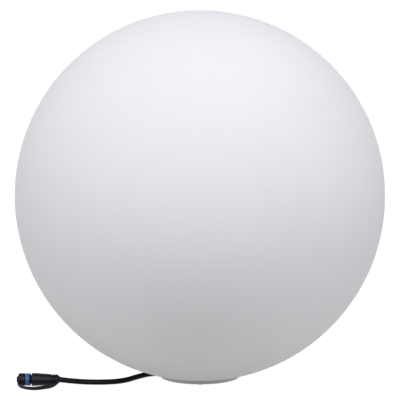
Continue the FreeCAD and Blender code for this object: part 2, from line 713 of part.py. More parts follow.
def lamp_parts():
    """Thermal pad, round LED board with its screws and wires, and twelve LEDs."""
    pad = rod("pad_disc", "2 * Layout.led_board_r", "Size.thermal_pad_t", (0, 0, layout.lamp_z))
    board = rod("led_disc", "2 * Layout.led_board_r", "Size.board_t", (0, 0, layout.led_board_z))
    top_z = layout.led_board_z + size("board_t")
    pad_holes = []
    board_holes = []
    screws = []
    for k, (x, y) in enumerate(ring_places(layout.led_screw_r, LED_SCREW_ANGLES)):
        hole = "Size.board_screw_d + Size.screw_play"
        pad_holes.append(rod("pad_hole_%d" % k, hole, "Size.thermal_pad_t", (x, y, layout.lamp_z)))
        board_holes.append(rod("led_hole_%d" % k, hole, "Size.board_t", (x, y, layout.led_board_z)))
        screws.append(screw("led_screw_%d" % k, (x, y, top_z), 1, *LED_SCREW))
    wires = []
    wire_len = "Layout.led_board_z + Size.board_t + Size.solder_t - Layout.parts_z"
    for k, (x, y) in enumerate(wire_places()):
        hole = "Size.wire_d + Size.screw_play"
        pad_holes.append(rod("pad_wire_%d" % k, hole, "Size.thermal_pad_t", (x, y, layout.lamp_z)))
        board_holes.append(rod("led_wire_hole_%d" % k, hole, "Size.board_t", (x, y, layout.led_board_z)))
        wire = rod("wire_%d" % k, "Size.wire_d", wire_len, (x, y, layout.parts_z))
        joint = primitive(
            "Cone",
            "solder_%d" % k,
            (x, y, top_z),
            Radius1="Size.wire_d / 2 + Size.solder_rim",
            Radius2="Size.wire_d / 2",
            Height="Size.solder_t",
        )
        wires.append(join("led_wire_%d" % k, wire, joint))
    cut("thermal_pad", pad, *pad_holes)
    cut("led_board", board, *board_holes)
    group("led_screws", screws)
    group("led_wires", wires)
    leds = []
    rings = ((layout.led_ring_r, 8), (size("led_inner_d") / 2, 4))
    for radius, count in rings:
        angles = [360 / count * (k + 0.5) for k in range(count)]
        for x, y in ring_places(radius, angles):
            led = block("led_%d" % len(leds), "Size.led_w", "Size.led_w", "Size.led_t")
            led.Placement.Base = Vector(x - size("led_w") / 2, y - size("led_w") / 2, top_z)
            leds.append(led)
    group("leds", leds)


def diffuser():
    """Cover over the LEDs, a short cup with a sloping shoulder, on its sealing bead."""
    base_z = layout.lamp_z + size("dome_seal_t")
    inside = "2 * Layout.dome_room_r"
    skirt = rod("dome_skirt", "2 * Layout.dome_r", "Size.dome_skirt", (0, 0, base_z))
    shoulder = primitive(
        "Cone",
        "dome_shoulder",
        (0, 0, base_z + size("dome_skirt")),
        Radius1="Layout.dome_r",
        Radius2="Layout.dome_r - Size.dome_rise",
        Height="Size.dome_rise",
    )
    room = rod("dome_room", inside, "Size.dome_skirt", (0, 0, base_z))
    under = primitive(
        "Cone",
        "dome_under",
        (0, 0, base_z + size("dome_skirt")),
        Radius1="Layout.dome_room_r",
        Radius2="Layout.dome_room_r - Size.dome_rise + Size.dome_wall",
        Height="Size.dome_rise - Size.dome_wall",
    )
    cut("diffuser_dome", join("dome_solid", skirt, shoulder), join("dome_hollow", room, under))
    ring = rod("bead_disc", "2 * Layout.dome_r", "Size.dome_seal_t", (0, 0, layout.lamp_z))
    cut("dome_seal", ring, rod("bead_room", inside, "Size.dome_seal_t", (0, 0, layout.lamp_z)))


def cord():
    """The free stretch of the cord, from the gland's mouth to the plug."""
    solid, length, radii = tube(CORD_POINTS, size("cord_d"))
    section = math.pi * (size("cord_d") / 2) ** 2
    print("cord: length %.1f mm" % length)
    print("cord: volume / (section x length) %.5f" % (solid.Volume / (section * length)))
    print("cord: bend radii " + ", ".join("%.1f" % radius for radius in radii))
    print("cord: lowest point %.3f" % solid.optimalBoundingBox(False).ZMin)
    return bent("cord", solid)


def on_plug(along):
    """A placement on the plug's axis, at a length from its cord end."""
    return Placement(Vector(PLUG_X - along, PLUG_Y, PLUG_Z), ALONG_PLUG)


def plug_body():
    """The moulded grip: cord mouth, neck for the strap's ring, grooved rear, and a swelling front."""
    neck_end = "Size.plug_neck_at + Size.plug_neck_len"
    corners = [
        ("0", "0"),
        ("Size.plug_mouth_d / 2", "0"),
        ("Size.plug_neck_d / 2", "Size.plug_neck_at"),
        ("Size.plug_neck_d / 2", neck_end),
        ("Size.plug_rear_d / 2 - 0.3", neck_end),
        ("Size.plug_rear_d / 2", neck_end + " + 0.3"),
    ]
    for k in range(GROOVES):
        start = "Size.groove_at + %d * Size.groove_pitch" % k
        bottom = "Size.plug_rear_d / 2 - Size.groove_depth"
        corners.append(("Size.plug_rear_d / 2", start))
        corners.append((bottom, start + " + 0.2"))
        corners.append((bottom, start + " + Size.groove_w - 0.2"))
        corners.append(("Size.plug_rear_d / 2", start + " + Size.groove_w"))
    corners += [
        ("Size.plug_rear_d / 2 + 0.15", "Size.groove_at + %d * Size.groove_pitch + 0.5" % GROOVES),
        ("Size.plug_d / 2", "Size.plug_len - 3"),
        ("Size.plug_d / 2", "Size.plug_len - 0.3"),
        ("Size.plug_d / 2 - 0.3", "Size.plug_len"),
        ("Size.insert_root_d / 2", "Size.plug_len"),
        ("Size.insert_root_d / 2", "Size.plug_len - Size.insert_root_len"),
        ("0", "Size.plug_len - Size.insert_root_len"),
    ]
    return lathe("plug_body", corners, on_plug(0))


def plug_insert():
    """Hard core of the plug: root, neck, chamfered flange, and a spigot with a socket for its pins."""
    root = "Size.insert_root_len"
    neck = root + " + Size.insert_neck_len"
    flange = neck + " + Size.insert_flange_t"
    end = flange + " + Size.spigot_len"
    corners = (
        ("0", "0"),
        ("Size.insert_root_d / 2 - 0.02", "0"),
        ("Size.insert_root_d / 2 - 0.02", root),
        ("Size.insert_neck_d / 2", root),
        ("Size.insert_neck_d / 2", neck),
        ("Layout.insert_flange_r - 0.5", neck),
        ("Layout.insert_flange_r", neck + " + 0.5"),
        ("Layout.insert_flange_r", flange),
        ("Layout.spigot_r", flange),
        ("Layout.spigot_r", end + " - 0.4"),
        ("Layout.spigot_r - 0.4", end),
        ("Layout.socket_r", end),
        ("Layout.socket_r", end + " - Size.socket_depth"),
        ("0", end + " - Size.socket_depth"),
    )
    turned = lathe("insert_turned", corners, on_plug(size("plug_len") - size("insert_root_len")))
    bores = []
    for side in (-1, 1):
        seat = pin_seat(side)
        bores.append(rod("pin_bore_%d" % side, "Size.pin_d + 0.04", "Size.pin_len", seat, ALONG_PLUG))
    return cut("plug_insert", turned, *bores)


def pin_seat(side):
    start = size("plug_len") - size("insert_root_len") + 3
    return (PLUG_X - start, PLUG_Y + side * size("pin_gap") / 2, PLUG_Z)


def plug_contacts():
    pins = []
    for side in (-1, 1):
        pins.append(rod("pin_%d" % side, "Size.pin_d", "Size.pin_len", pin_seat(side), ALONG_PLUG))
    return group("plug_contacts", pins)


def plug_seal():
    """Ring with a rounded outside that seals the plug to its socket or cap."""
    corners = (
        ("Layout.seal_bore_r", "0"),
        ("Layout.seal_r - 0.5", "0"),
        ("Layout.seal_r", "0.5"),
        ("Layout.seal_r", "Size.seal_len - 0.5"),
        ("Layout.seal_r - 0.5", "Size.seal_len"),
        ("Layout.seal_bore_r", "Size.seal_len"),
    )
    return lathe("plug_seal", corners, on_plug(layout.spigot_at))


def plug_cap():
    """Dust cap that pulls off the spigot, with a button at its end for the strap's ring."""
    corners = (
        ("Layout.cap_bore_r", "0"),
        ("Layout.seal_r - 0.3", "0"),
        ("Layout.seal_r", "0.3"),
        ("Layout.seal_r", "Size.cap_len - Size.cap_chamfer"),
        ("Layout.seal_r - Size.cap_chamfer", "Size.cap_len"),
        ("Size.lug_d / 2", "Size.cap_len"),
        ("Size.lug_d / 2", "Size.cap_len + Size.lug_len"),
        ("Size.button_d / 2", "Size.cap_len + Size.lug_len"),
        ("Size.button_d / 2 - 0.3", "Size.cap_len + Size.lug_len + Size.button_t"),
        ("0", "Size.cap_len + Size.lug_len + Size.button_t"),
        ("0", "Size.cap_len - Size.cap_end_t"),
        ("Layout.cap_bore_r", "Size.cap_len - Size.cap_end_t"),
    )
    return lathe("plug_cap", corners, on_plug(layout.cap_at))


def cap_strap():
    """Flat lanyard on the ground, from a ring round the cap's lug to a ring round the plug's neck."""
    lug = PLUG_X - layout.lug_at - size("lug_len") / 2
    neck = PLUG_X - size("plug_neck_at") - size("plug_neck_len") / 2
    front = PLUG_X - layout.lug_at - size("strap_play") - size("strap_t") / 2
    path = route(strap_points(front, neck))[0]
    side = path.makeOffset2D(size("strap_t") / 2, 0, False, True)
    other = path.makeOffset2D(-size("strap_t") / 2, 0, False, True)
    ends = [
        Part.makeLine(side.OrderedVertexes[k].Point, other.OrderedVertexes[k].Point)
        for k in (0, -1)
    ]
    outline = Part.Wire(Part.__sortEdges__(side.Edges + other.Edges + ends))
    band = bent("strap_band", Part.Face(outline).extrude(Vector(0, 0, size("strap_w"))))
    pieces = [band]
    holes = []
    for name, x, inner in (("front", lug, "lug_d"), ("back", neck, "plug_neck_d")):
        wide = "Size.%s_ring_w" % name
        hole = "Size.%s + 2 * Size.ring_play" % inner
        over = "Size.%s + 2 * Size.%s_ring_rim" % (inner, name)
        half = size(name + "_ring_w") / 2
        pieces.append(rod("ring_" + name, over, wide, (x + half, PLUG_Y, PLUG_Z), ALONG_PLUG))
        mouth = (x + size("strap_t") / 2, PLUG_Y, PLUG_Z)
        holes.append(rod("ring_hole_" + name, hole, "Size.strap_t", mouth, ALONG_PLUG))
        tab = block("tab_" + name, wide, "Size.strap_tab_w", "Size.strap_tab_len")
        tab.Placement.Base = Vector(x - half, PLUG_Y - size("strap_tab_w") / 2, size("strap_lift"))
        pieces.append(tab)
    return cut("cap_strap", join("strap_solid", *pieces), *holes)


def strap_points(front, back):
    """The strap's path: square to the plug at both ends, with its bow in shares of its span."""
    span = back - front
    bow = [(front + along * span, PLUG_Y - out * span) for along, out in STRAP_BOW]
    plan = [(front, PLUG_Y), *bow, (back, PLUG_Y)]
    return tuple((x, y, size("strap_lift")) for x, y in plan)


NODES = (
    "globe_shell",
    "neck_inserts",
    "base_gasket",
    "base_housing",
    "base_screws",
    "rubber_feet",
    "gland_body",
    "gland_locknut",
    "gland_seal",
    "gland_nut",
    "supply_cores",
    "driver_board",
    "driver_screws",
    "terminal_block",
    "driver_choke",
    "driver_capacitors",
    "driver_chips",
    "heat_sink",
    "heat_sink_seal",
    "heat_sink_screws",
    "thermal_pad",
    "led_board",
    "leds",
    "led_wires",
    "led_screws",
    "diffuser_dome",
    "dome_seal",
    "cord",
    "plug_body",
    "plug_insert",
    "plug_contacts",
    "plug_seal",
    "plug_cap",
    "cap_strap",
)

globe_shell()
neck_inserts()
base_gasket()
base_housing()
base_screws()
rubber_feet()
gland_parts()
supply_cores()
driver_parts()
heat_sink_parts()
lamp_parts()
diffuser()
cord()
plug_body()
plug_insert()
plug_contacts()
plug_seal()
plug_cap()
cap_strap()
doc.recompute()

for item in doc.Objects:
    bad = [state for state in item.State if state in ("Invalid", "Error")]
    assert not bad, "%s is %s" % (item.Label, bad)

os.makedirs("parts", exist_ok=True)
for name in NODES:
    node = next(item for item in doc.Objects if item.Label == name)
    shape = node.Shape
    assert not shape.isNull() and shape.isValid() and shape.Volume > 0, name
    shape.exportStep("parts/%s.step" % name)
    box = shape.BoundBox
    print("%-18s solids %2d volume %10.1f  x %.1f..%.1f  y %.1f..%.1f  z %.2f..%.2f" % (
        name, len(shape.Solids), shape.Volume, box.XMin, box.XMax, box.YMin, box.YMax, box.ZMin, box.ZMax))
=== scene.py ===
# %% [markdown]
# # A garden globe light, dressed for a studio picture
# The light is a hollow white ball of moulded polyethylene on a short grey foot. A round rubber
# cord creeps out from under it and ends in a small plug with a blue seal and a strapped dust cap.
# The measured model of every piece is loaded first. What shows is then made again as finer
# surfaces in the same place, and what stays hidden keeps its shape and gets its real finish.

# %% Load the measured model
import math

import bmesh
import bpy
import numpy as np
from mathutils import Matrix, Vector


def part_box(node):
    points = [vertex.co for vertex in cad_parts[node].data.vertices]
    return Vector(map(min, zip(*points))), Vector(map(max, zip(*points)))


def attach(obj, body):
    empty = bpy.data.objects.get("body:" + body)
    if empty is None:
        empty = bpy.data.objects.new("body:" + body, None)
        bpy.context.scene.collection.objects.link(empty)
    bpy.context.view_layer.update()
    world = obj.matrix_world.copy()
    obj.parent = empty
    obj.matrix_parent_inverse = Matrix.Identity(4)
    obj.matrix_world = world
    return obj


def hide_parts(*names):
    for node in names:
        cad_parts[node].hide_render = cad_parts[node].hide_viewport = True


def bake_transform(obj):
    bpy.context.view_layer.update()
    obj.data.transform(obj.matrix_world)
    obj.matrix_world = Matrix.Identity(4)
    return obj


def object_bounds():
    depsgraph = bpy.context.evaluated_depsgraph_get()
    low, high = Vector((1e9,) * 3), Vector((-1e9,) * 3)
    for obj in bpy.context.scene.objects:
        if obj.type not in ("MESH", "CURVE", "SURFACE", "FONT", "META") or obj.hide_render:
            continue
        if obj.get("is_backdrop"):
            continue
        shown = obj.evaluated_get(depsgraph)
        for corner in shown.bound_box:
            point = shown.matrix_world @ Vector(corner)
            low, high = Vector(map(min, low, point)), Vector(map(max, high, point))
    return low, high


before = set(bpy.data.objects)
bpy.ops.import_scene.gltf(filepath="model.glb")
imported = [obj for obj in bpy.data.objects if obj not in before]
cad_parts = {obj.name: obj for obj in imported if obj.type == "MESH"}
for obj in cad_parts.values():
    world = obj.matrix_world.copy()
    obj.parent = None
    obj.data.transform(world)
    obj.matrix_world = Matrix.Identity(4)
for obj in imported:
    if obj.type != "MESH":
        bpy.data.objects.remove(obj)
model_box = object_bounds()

# %% [markdown]
# ## The ball's place
# Nearly everything in the picture is measured against the ball: the camera aims at its middle,
# and its radius sets the distance. The model's own box gives both. The lowest corner of the ball
# is the flat cut where it sits on the foot.

# %% Ball
ball_low, ball_high = (np.array(corner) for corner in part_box("globe_shell"))
BALL_R = (ball_high[1] - ball_low[1]) / 2
BALL_CUT = ball_low[2]
BALL_MIDDLE = np.array([0.0, 0.0, ball_high[2] - BALL_R])
ball_mm = tuple(1000 * size for size in (BALL_R, BALL_MIDDLE[2], BALL_CUT))
print("ball: radius %.1f mm, middle at %.1f mm, cut at %.1f mm" % ball_mm)

# %% [markdown]
# ## The camera
# The picture was taken with a long lens from a little above the ball's middle. The ball fills
# the frame, so its radius in the picture gives the focal length once a distance is chosen.
# Twelve radii keep the perspective as slight as it shows. The height of the camera comes from
# the foot: its round rim shows as a thin ellipse, which opens up as the camera rises.

# %% Camera
FRAME_PX = 400
BALL_PX = 185.45
SENSOR = 36.0
CAMERA_DISTANCE = 12 * BALL_R
CAMERA_UP = math.radians(7.95)
AIM_DROP = 0.0046
VIEW_DEPTH = 100


def add_camera():
    """A camera whose lens makes the ball's outline BALL_PX across its radius. The outline is where
    sight lines touch the ball, so its radius is R / sqrt(distance^2 - R^2) of the focal length."""
    focal_px = BALL_PX * math.sqrt(CAMERA_DISTANCE**2 - BALL_R**2) / BALL_R
    data = bpy.data.cameras.new("camera")
    data.sensor_width = SENSOR
    data.lens = focal_px * SENSOR / FRAME_PX
    data.clip_end = VIEW_DEPTH
    camera = bpy.data.objects.new("camera", data)
    bpy.context.collection.objects.link(camera)
    back = Vector((0, -math.cos(CAMERA_UP), math.sin(CAMERA_UP)))
    camera.location = Vector(BALL_MIDDLE) + back * CAMERA_DISTANCE
    aim = Vector(BALL_MIDDLE) - Vector((0, 0, AIM_DROP))
    camera.rotation_euler = (aim - camera.location).to_track_quat("-Z", "Y").to_euler()
    bpy.context.scene.camera = camera
    return camera


camera = add_camera()
print("lens %.1f mm at %.2f m" % (camera.data.lens, CAMERA_DISTANCE))

# %% [markdown]
# ## Surfaces from formulas
# Every new piece is a grid of points worked out at once with numpy. Two makers cover them all:
# one turns an outline round an axis, as a lathe does, and one carries a section along a path.
# Ready-made cylinders would be quicker, but they have no lips, grooves or soft edges, and a
# boolean cut leaves ragged faces. A grid stays even, and its formula can be read.

# %% From grid to mesh
def grid_mesh(name, points, close_u=False, close_v=False):
    """A mesh from a (u, v, 3) grid of points: neighbours in the grid share a face.
    close_u and close_v join the last row or column to the first."""
    nu, nv = points.shape[:2]
    index = np.arange(nu * nv).reshape(nu, nv)
    if close_u:
        index = np.vstack([index, index[:1]])
    if close_v:
        index = np.hstack([index, index[:, :1]])
    corners = (index[:-1, :-1], index[1:, :-1], index[1:, 1:], index[:-1, 1:])
    quads = np.stack(corners, axis=-1).reshape(-1, 4)
    mesh = bpy.data.meshes.new(name)
    mesh.from_pydata(points.reshape(-1, 3).tolist(), [], quads.tolist())
    return mesh


WELD = 1e-7


def finished(name, meshes):
    """One object from closed grids: welded where rows meet in a pole, with its faces outward and
    smooth shading. An open edge is one that doesn't join two faces."""
    joined = bmesh.new()
    for mesh in meshes:
        part = bmesh.new()
        part.from_mesh(mesh)
        bmesh.ops.remove_doubles(part, verts=part.verts, dist=WELD)
        bmesh.ops.recalc_face_normals(part, faces=part.faces)
        part.to_mesh(mesh)
        part.free()
        joined.from_mesh(mesh)
        bpy.data.meshes.remove(mesh)
    for face in joined.faces:
        face.smooth = True
    whole = bpy.data.meshes.new(name)
    joined.to_mesh(whole)
    loose = sum(1 for edge in joined.edges if len(edge.link_faces) != 2)
    print("%s: %d faces, %d open edges" % (name, len(joined.faces), loose))
    joined.free()
    piece = bpy.data.objects.new(name, whole)
    bpy.context.collection.objects.link(piece)
    return piece


# %% [markdown]
# ### Soft corners
# A moulded edge is never sharp: the mould's own edge is rounded, and so is the part's. Each
# corner of an outline is therefore given with a fillet, and a short curve replaces it. A Bevel
# modifier could do this too, but here every corner keeps the radius that its tool would leave.

# %% Outlines with soft corners
CORNER_STEPS = 5


def rounded(corners):
    """An outline whose corners are curves. Each corner is (along, radius, fillet). The curve is
    (1-t)^2 A + 2t(1-t) C + t^2 B between points A and B on the two sides of the corner C."""
    line = []
    last_corner = len(corners) - 1
    for i, (along, radius, fillet) in enumerate(corners):
        here = np.array([along, radius])
        if fillet == 0 or i in (0, last_corner):
            line.append(here[None])
            continue
        before = np.array(corners[i - 1][:2]) - here
        after = np.array(corners[i + 1][:2]) - here
        reach = [min(fillet / np.linalg.norm(side), 0.5) for side in (before, after)]
        first, last = here + before * reach[0], here + after * reach[1]
        t = np.linspace(0, 1, CORNER_STEPS)[:, None]
        line.append((1 - t) ** 2 * first + 2 * t * (1 - t) * here + t**2 * last)
    return np.vstack(line)


one_corner = rounded([(0, 0, 0), (1, 0, 0.2), (1, 1, 0)])
print("a corner with a fillet becomes", len(one_corner) - 2, "points")

# %% The lathe
def turned(name, outline, place, around=96, close=False):
    """An outline of (along, radius) turned round an axis, which place sets in the frame:
    point = place(along, radius * cos(angle), radius * sin(angle))."""
    angle = np.linspace(0, 2 * np.pi, around, endpoint=False)
    along = np.repeat(outline[:, :1], around, axis=1)
    across = outline[:, 1:2] * np.cos(angle)
    up = outline[:, 1:2] * np.sin(angle)
    return grid_mesh(name, place(along, across, up), close_u=close, close_v=True)


# %% [markdown]
# ## Materials
# All finishes are worked out from the piece's own coordinates, in metres. Moulded plastic and
# rubber are never quite flat: a fine grain, faint flow marks and slight changes of gloss make
# them readable as what they are. A picture wrapped round the piece would need seams, while a
# field of noise has none and keeps its true size on every piece.

# %% A shader with its nodes
def new_material(name, color, roughness, metallic=0.0):
    """A material with its shader and its node tree."""
    material = bpy.data.materials.new(name)
    material.use_nodes = True
    shader = material.node_tree.nodes["Principled BSDF"]
    shader.inputs["Base Color"].default_value = (*color, 1)
    shader.inputs["Roughness"].default_value = roughness
    shader.inputs["Metallic"].default_value = metallic
    return material, material.node_tree, shader


# %% Noise, and what it drives
def noise(tree, scale, detail=3.0, roughness=0.5, stretch=None):
    """Noise over object coordinates, scale in waves per metre, stretch per axis."""
    place = tree.nodes.new("ShaderNodeTexCoord")
    source = place.outputs["Object"]
    if stretch:
        mapping = tree.nodes.new("ShaderNodeMapping")
        mapping.inputs["Scale"].default_value = stretch
        tree.links.new(source, mapping.inputs["Vector"])
        source = mapping.outputs["Vector"]
    field = tree.nodes.new("ShaderNodeTexNoise")
    field.inputs["Scale"].default_value = scale
    field.inputs["Detail"].default_value = detail
    field.inputs["Roughness"].default_value = roughness
    tree.links.new(source, field.inputs["Vector"])
    return field.outputs["Fac"]


FIELD_MIDDLE = (0.3, 0.7)


def spread(tree, fac, low, high):
    """Maps the middle of a field's range to a range of numbers or of colours."""
    ramp = tree.nodes.new("ShaderNodeValToRGB")
    for stop, at, value in zip(ramp.color_ramp.elements, FIELD_MIDDLE, (low, high)):
        stop.position = at
        stop.color = (*value, 1) if isinstance(value, tuple) else (value, value, value, 1)
    tree.links.new(fac, ramp.inputs["Fac"])
    return ramp.outputs["Color"]


def bump(tree, shader, fac, distance, strength):
    """Raises the surface by the field, distance in metres."""
    node = tree.nodes.new("ShaderNodeBump")
    node.inputs["Distance"].default_value = distance
    node.inputs["Strength"].default_value = strength
    tree.links.new(fac, node.inputs["Height"])
    tree.links.new(node.outputs["Normal"], shader.inputs["Normal"])


# %% [markdown]
# ### The globe's plastic
# The ball is polyethylene as it leaves a rotating mould. Powder melts against a blasted steel
# wall, so the skin is satin and faintly pebbled, the wall lets a little light in, and its
# thickness changes slowly, which shows as soft clouds of tone. Little light is mirrored.

# %% Globe plastic
GLOBE_SHADES = ((0.885, 0.885, 0.91), (0.905, 0.905, 0.93))
GLOBE_GLOSS = (0.52, 0.62)
# waves per metre of the clouds of tone, the drift of gloss and the pebble, and its depth
CLOUDS, GLOSS_DRIFT, PEBBLE, PEBBLE_DEPTH = 9, 60, 420, 0.00005


def globe_plastic():
    """Satin white with slow clouds, a fine pebble and slight translucence."""
    material, tree, shader = new_material("globe_plastic", (0.895, 0.895, 0.92), 0.57)
    shader.inputs["Specular IOR Level"].default_value = 0.05
    shader.inputs["Subsurface Weight"].default_value = 0.15
    shader.inputs["Subsurface Radius"].default_value = (0.012, 0.011, 0.010)
    shader.inputs["Subsurface Scale"].default_value = 0.5
    clouds = spread(tree, noise(tree, CLOUDS, 4), *GLOBE_SHADES)
    tree.links.new(clouds, shader.inputs["Base Color"])
    gloss = spread(tree, noise(tree, GLOSS_DRIFT, 3), *GLOBE_GLOSS)
    tree.links.new(gloss, shader.inputs["Roughness"])
    bump(tree, shader, noise(tree, PEBBLE, 3, 0.55), PEBBLE_DEPTH, 0.6)
    return material


# %% [markdown]
# ### Rubber and moulded plastics
# All the small pieces are moulded skins, told apart by shade, gloss and the grain of their mould.
# One recipe makes them: two close shades drift over the piece, the gloss changes a little
# faster, and the grain is a fine bump. Cord and strap are smoother than the plug's grip.

# %% One recipe for moulded skins
# how fast shade and gloss drift, as shares of the grain
SHADE_PACE = 0.08
GLOSS_PACE = 0.25


def grained(name, low, high, gloss, grain, depth, specular):
    """Two close shades, a range of roughness, and a grain in waves per metre with its depth."""
    material, tree, shader = new_material(name, low, sum(gloss) / 2)
    shader.inputs["Specular IOR Level"].default_value = specular
    shades = spread(tree, noise(tree, grain * SHADE_PACE, 4), low, high)
    tree.links.new(shades, shader.inputs["Base Color"])
    roughness = spread(tree, noise(tree, grain * GLOSS_PACE, 3), *gloss)
    tree.links.new(roughness, shader.inputs["Roughness"])
    bump(tree, shader, noise(tree, grain, 3, 0.6), depth, 0.7)
    return material


# name: darker shade, lighter shade, roughness range, grain, depth in metres, mirror strength
SKINS = {
    "cord_rubber": ((0.004, 0.004, 0.005), (0.008, 0.008, 0.010), (0.36, 0.46), 1500, 2e-5, 0.06),
    "grip_rubber": ((0.004, 0.005, 0.008), (0.007, 0.008, 0.012), (0.38, 0.48), 2600, 2e-5, 0.11),
    "strap_rubber": ((0.003, 0.003, 0.004), (0.006, 0.006, 0.007), (0.26, 0.36), 1800, 1e-5, 0.18),
    "blue_rubber": ((0.034, 0.115, 0.35), (0.047, 0.148, 0.41), (0.30, 0.40), 2400, 1e-5, 0.20),
    "cap_plastic": ((0.004, 0.005, 0.007), (0.008, 0.009, 0.012), (0.32, 0.42), 2200, 15e-6, 0.09),
    "navy_plastic": ((0.003, 0.005, 0.022), (0.006, 0.010, 0.034), (0.34, 0.44), 2200, 1e-5, 0.08),
    "foot_plastic": ((0.61, 0.60, 0.605), (0.67, 0.66, 0.665), (0.50, 0.62), 1400, 4e-5, 0.30),
    "grey_gasket": ((0.36, 0.355, 0.36), (0.44, 0.435, 0.44), (0.60, 0.75), 2600, 3e-5, 0.20),
    "seal_rubber": ((0.014, 0.014, 0.014), (0.020, 0.020, 0.020), (0.55, 0.70), 1600, 2e-5, 0.50),
    "pale_silicone": ((0.55, 0.56, 0.56), (0.66, 0.67, 0.67), (0.30, 0.42), 1200, 2e-5, 0.50),
    "black_nylon": ((0.012, 0.012, 0.012), (0.020, 0.020, 0.020), (0.35, 0.50), 1800, 2e-5, 0.50),
    "opal_plastic": ((0.80, 0.80, 0.80), (0.86, 0.86, 0.86), (0.45, 0.60), 900, 2e-5, 0.50),
    "green_board": ((0.010, 0.075, 0.030), (0.014, 0.10, 0.04), (0.25, 0.40), 900, 2e-5, 0.50),
    "white_board": ((0.74, 0.74, 0.72), (0.80, 0.80, 0.78), (0.30, 0.42), 900, 1e-5, 0.50),
    "component_black": ((0.015, 0.015, 0.016), (0.03, 0.03, 0.03), (0.40, 0.60), 1600, 3e-5, 0.50),
    "led_phosphor": ((0.72, 0.55, 0.12), (0.82, 0.66, 0.20), (0.30, 0.40), 3000, 1e-5, 0.50),
    "core_insulation": ((0.10, 0.04, 0.018), (0.13, 0.055, 0.025), (0.30, 0.42), 1500, 1e-5, 0.50),
}
finishes = {name: grained(name, *recipe) for name, recipe in SKINS.items()}
print("moulded finishes:", len(finishes))

# %% [markdown]
# ### Metals
# Screws, inserts, contacts and the heat sink are bare metal. Turning and drawing leave fine
# lines in one direction, so the noise is stretched along one axis before it drives the gloss.

# %% Turned and drawn metal
TOOL_LINES = 900
TOOL_LINE_DEPTH = 8e-6
WEAR = 300


def metal(name, low, high, gloss, stretch):
    """Fine lines of tone and gloss, drawn out along one axis, with a shallow bump."""
    material, tree, shader = new_material(name, low, sum(gloss) / 2, 1.0)
    lines = noise(tree, TOOL_LINES, 4, 0.6, stretch)
    tree.links.new(spread(tree, lines, low, high), shader.inputs["Base Color"])
    wear = noise(tree, WEAR, 4, 0.6, stretch)
    tree.links.new(spread(tree, wear, *gloss), shader.inputs["Roughness"])
    bump(tree, shader, lines, TOOL_LINE_DEPTH, 0.5)
    return material


# name: darker tone, lighter tone, roughness range, stretch along X, Y and Z
METALS = {
    "screw_steel": ((0.50, 0.50, 0.51), (0.62, 0.62, 0.63), (0.25, 0.40), (1, 1, 6)),
    "turned_brass": ((0.62, 0.42, 0.16), (0.74, 0.52, 0.22), (0.22, 0.36), (1, 1, 8)),
    "milled_aluminium": ((0.60, 0.60, 0.61), (0.72, 0.72, 0.73), (0.30, 0.45), (12, 1, 1)),
}
finishes.update({name: metal(name, *recipe) for name, recipe in METALS.items()})
print("metal finishes:", len(METALS))

# %% [markdown]
# ### Pieces that keep their shape
# The housing, its fixings, the electronics and the lamp are right as the model gives them.
# They only need their finish, which goes into the slots that they already have.

# %% Finishes on the model's own pieces
KEPT = {
    "foot_plastic": ("base_housing",),
    "grey_gasket": ("base_gasket",),
    "seal_rubber": ("gland_seal", "rubber_feet"),
    "screw_steel": ("base_screws", "driver_screws", "heat_sink_screws", "led_screws"),
    "turned_brass": ("neck_inserts", "plug_contacts"),
    "black_nylon": ("gland_body", "gland_locknut", "gland_nut"),
    "core_insulation": ("supply_cores", "led_wires"),
    "green_board": ("driver_board",),
    "component_black": ("terminal_block", "driver_choke", "driver_capacitors", "driver_chips"),
    "milled_aluminium": ("heat_sink",),
    "pale_silicone": ("heat_sink_seal", "thermal_pad", "dome_seal"),
    "white_board": ("led_board",),
    "led_phosphor": ("leds",),
    "opal_plastic": ("diffuser_dome",),
}


def paint(piece, material):
    """Puts one material in every slot of a piece."""
    if not piece.material_slots:
        piece.data.materials.append(material)
    for slot in piece.material_slots:
        slot.material = material


for finish, nodes in KEPT.items():
    for node in nodes:
        paint(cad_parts[node], finishes[finish])
print("pieces that keep their shape:", sum(len(nodes) for nodes in KEPT.values()))

# %% [markdown]
# ## The globe
# The ball's mould is filled with powder that melts and coats its wall, so the ball has one even
# skin and no edge anywhere but at its neck. A subdivided sphere would do for the outside. Here
# the outline runs down the outside, rounds the lip, climbs the neck's bore and follows the inside
# up to the crown again, so that wall and neck are one closed skin, as they are in the real ball.

# %% The ball's outline
WALL = 0.003
LIP_R = 0.0444
LIP_AT = BALL_CUT + 0.00002
LIP_TURN = 0.004
LIP_FILLET = 0.0008
NECK_R = 0.036
NECK_RING_R = 0.048
NECK_RING_TOP = BALL_CUT + 0.009
NECK_RING_FILLET = 0.001


def ball_arc(radius, low, high, rows):
    """Points (height, radius) of a circle round the ball's middle, from latitude low to high:
    height = middle + R sin(latitude), radius = R cos(latitude)."""
    latitude = np.linspace(low, high, rows)
    height = BALL_MIDDLE[2] + radius * np.sin(latitude)
    return np.stack([height, radius * np.cos(latitude)], axis=1)


def ball_outline(rows=180):
    """(height, radius) from the crown down the outside to the lip, up the bore and the inside.
    The outside stops LIP_TURN radians above the cut, so that the lip's edge is soft."""
    inner_r = BALL_R - WALL
    lip = math.asin((BALL_CUT - BALL_MIDDLE[2]) / BALL_R)
    ring = -math.acos(NECK_RING_R / inner_r)
    neck = rounded(
        [
            (LIP_AT, LIP_R, 0),
            (LIP_AT, NECK_R, LIP_FILLET),
            (NECK_RING_TOP, NECK_R, NECK_RING_FILLET),
            (NECK_RING_TOP, NECK_RING_R, 0),
        ]
    )
    outside = ball_arc(BALL_R, math.pi / 2, lip + LIP_TURN, rows)
    inside = ball_arc(inner_r, ring, math.pi / 2, rows // 2)
    return np.vstack([outside, neck, inside])


outline = ball_outline()
outline_mm = 1000 * np.ptp(outline[:, 0])
print("outline of the ball: %d points, %.1f mm high" % (len(outline), outline_mm))

